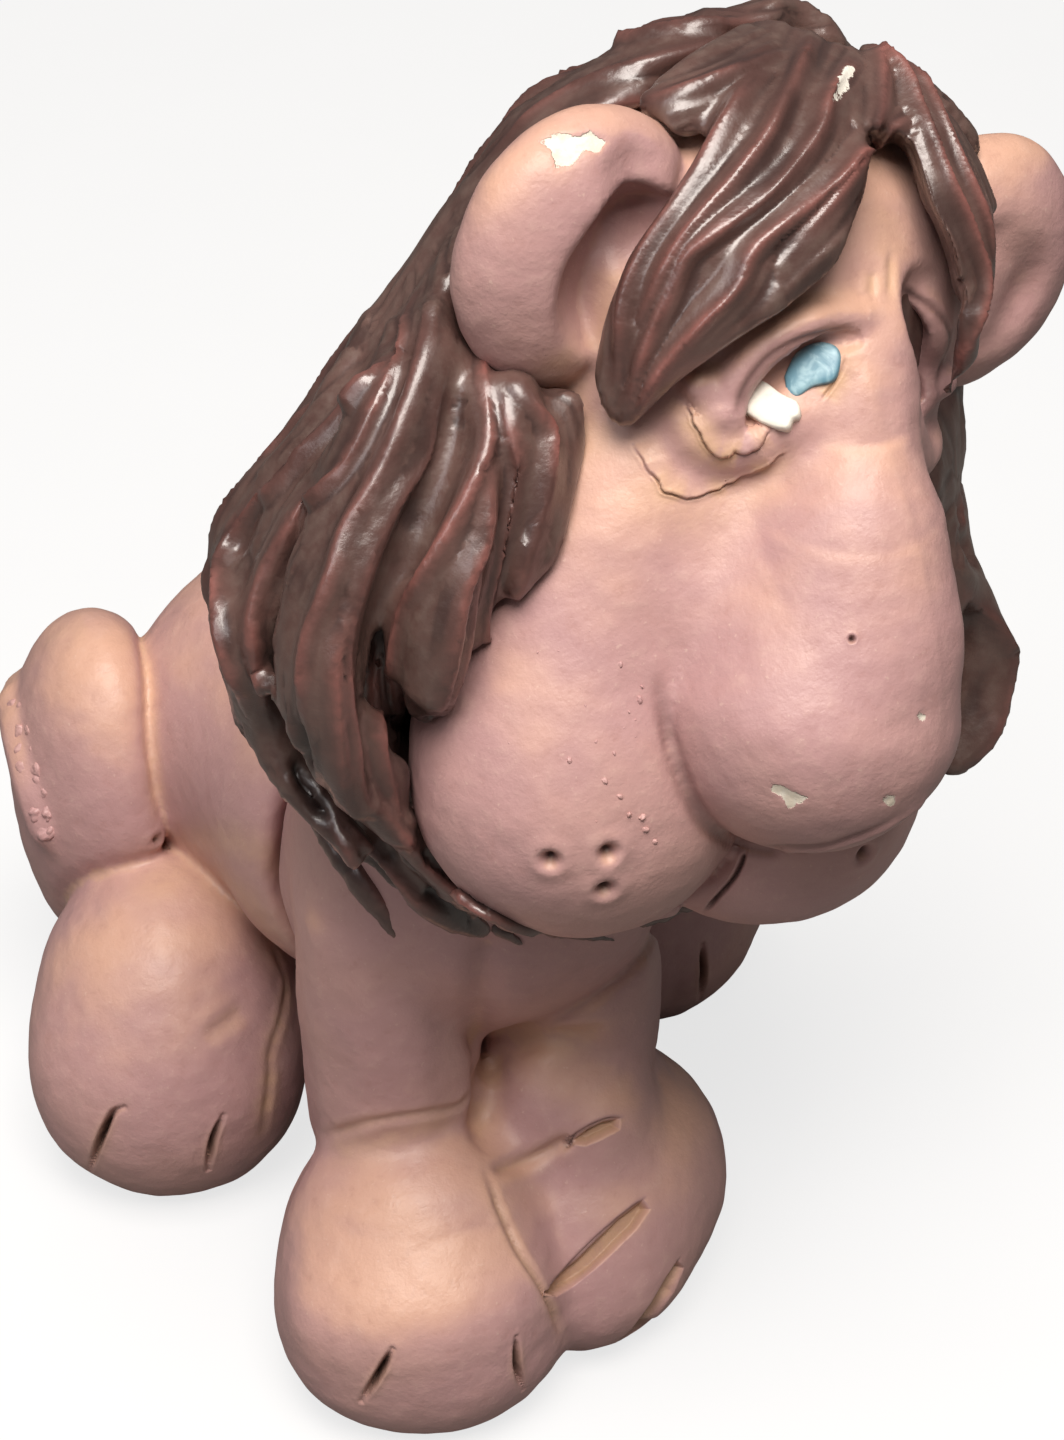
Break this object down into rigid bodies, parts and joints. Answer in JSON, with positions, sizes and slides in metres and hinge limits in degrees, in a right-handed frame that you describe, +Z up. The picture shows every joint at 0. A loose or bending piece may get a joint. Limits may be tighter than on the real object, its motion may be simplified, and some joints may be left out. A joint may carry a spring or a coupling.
{
  "type": "lion figurine",
  "caption": "Free-standing painted clay lion ornament with a heavy cocked head, bulbous nose, combed mane of applied locks, and big round paws with flat soles.",
  "frame": {"origin": "on the floor under the middle of the figure's bounding box", "axes": "+Z up, -Y the way the lion's body faces, +X to the lion's left"},
  "size_m": [0.1352, 0.1544, 0.1913],
  "materials": {
    "hide_paint": "satin",
    "mane_paint": "gloss",
    "iris_paint": "satin"
  },
  "bodies": {
    "root": {"chest": "hide_paint", "trunk": "hide_paint", "right_front_paw": "hide_paint", "left_front_paw": "hide_paint", "right_hind_paw": "hide_paint", "left_hind_paw": "hide_paint", "right_front_leg": "hide_paint", "left_front_leg": "hide_paint", "right_haunch": "hide_paint", "left_haunch": "hide_paint", "tail": "hide_paint", "tail_tuft": "hide_paint", "skull": "hide_paint", "nose": "hide_paint", "right_jowl": "hide_paint", "left_jowl": "hide_paint", "chin": "hide_paint", "right_ear": "hide_paint", "left_ear": "hide_paint", "right_brow": "hide_paint", "right_lower_lid": "hide_paint", "right_iris": "iris_paint", "left_brow": "hide_paint", "left_lower_lid": "hide_paint", "left_iris": "iris_paint", "mane_core": "mane_paint", "right_fringe_lock_1": "mane_paint", "right_fringe_lock_2": "mane_paint", "right_fringe_lock_3": "mane_paint", "right_fringe_lock_4": "mane_paint", "left_fringe_lock_1": "mane_paint", "left_fringe_lock_2": "mane_paint", "left_fringe_lock_3": "mane_paint", "right_cheek_lock_1": "mane_paint", "right_cheek_lock_2": "mane_paint", "right_cheek_lock_3": "mane_paint", "right_mane_lock_1": "mane_paint", "right_mane_lock_2": "mane_paint", "right_mane_lock_3": "mane_paint", "right_mane_lock_4": "mane_paint", "right_mane_lock_5": "mane_paint", "right_beard_lock_1": "mane_paint", "right_beard_lock_2": "mane_paint", "right_beard_lock_3": "mane_paint", "left_cheek_lock_1": "mane_paint", "left_cheek_lock_2": "mane_paint", "left_cheek_lock_3": "mane_paint", "left_mane_lock_1": "mane_paint", "left_mane_lock_2": "mane_paint", "left_mane_lock_3": "mane_paint", "left_mane_lock_4": "mane_paint", "left_mane_lock_5": "mane_paint", "left_beard_lock_1": "mane_paint", "left_beard_lock_2": "mane_paint", "left_beard_lock_3": "mane_paint", "back_mane_lock": "mane_paint"}
  },
  "joints": []
}
